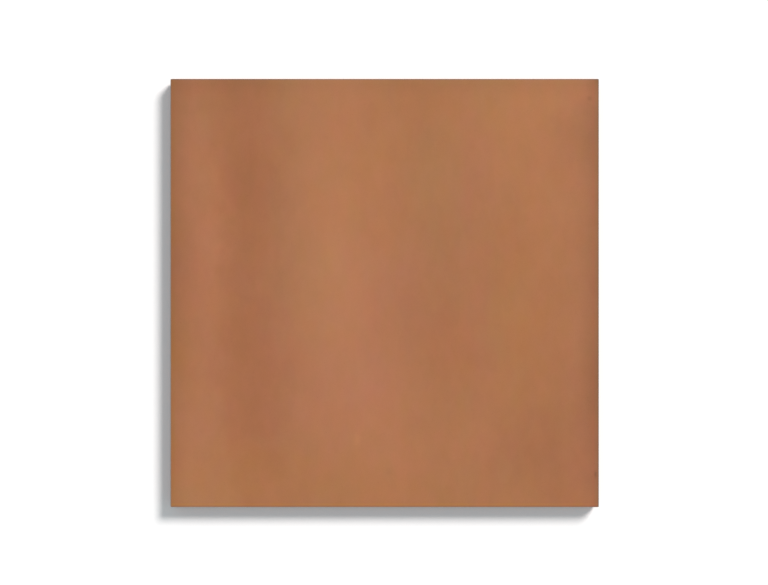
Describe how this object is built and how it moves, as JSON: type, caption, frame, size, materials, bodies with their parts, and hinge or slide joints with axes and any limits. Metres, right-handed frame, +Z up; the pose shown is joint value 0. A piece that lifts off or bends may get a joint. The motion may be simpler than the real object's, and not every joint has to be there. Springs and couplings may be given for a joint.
{
  "type": "ceramic floor tile",
  "caption": "Square terracotta-coloured ceramic floor tile with an eased edge, a softly streaked wearing face and a ribbed keying back, laid in a mortar or adhesive bed.",
  "frame": {"origin": "centre of the bedding face, the flat back that lies on the floor", "axes": "+Z up, square out of the wearing face; the four sides lie along X and Y, and the face's shading runs along Y"},
  "size_m": [0.2, 0.2, 0.009],
  "materials": {
    "fired_clay": "matte"
  },
  "bodies": {
    "root": {"tile": "fired_clay"}
  },
  "joints": []
}
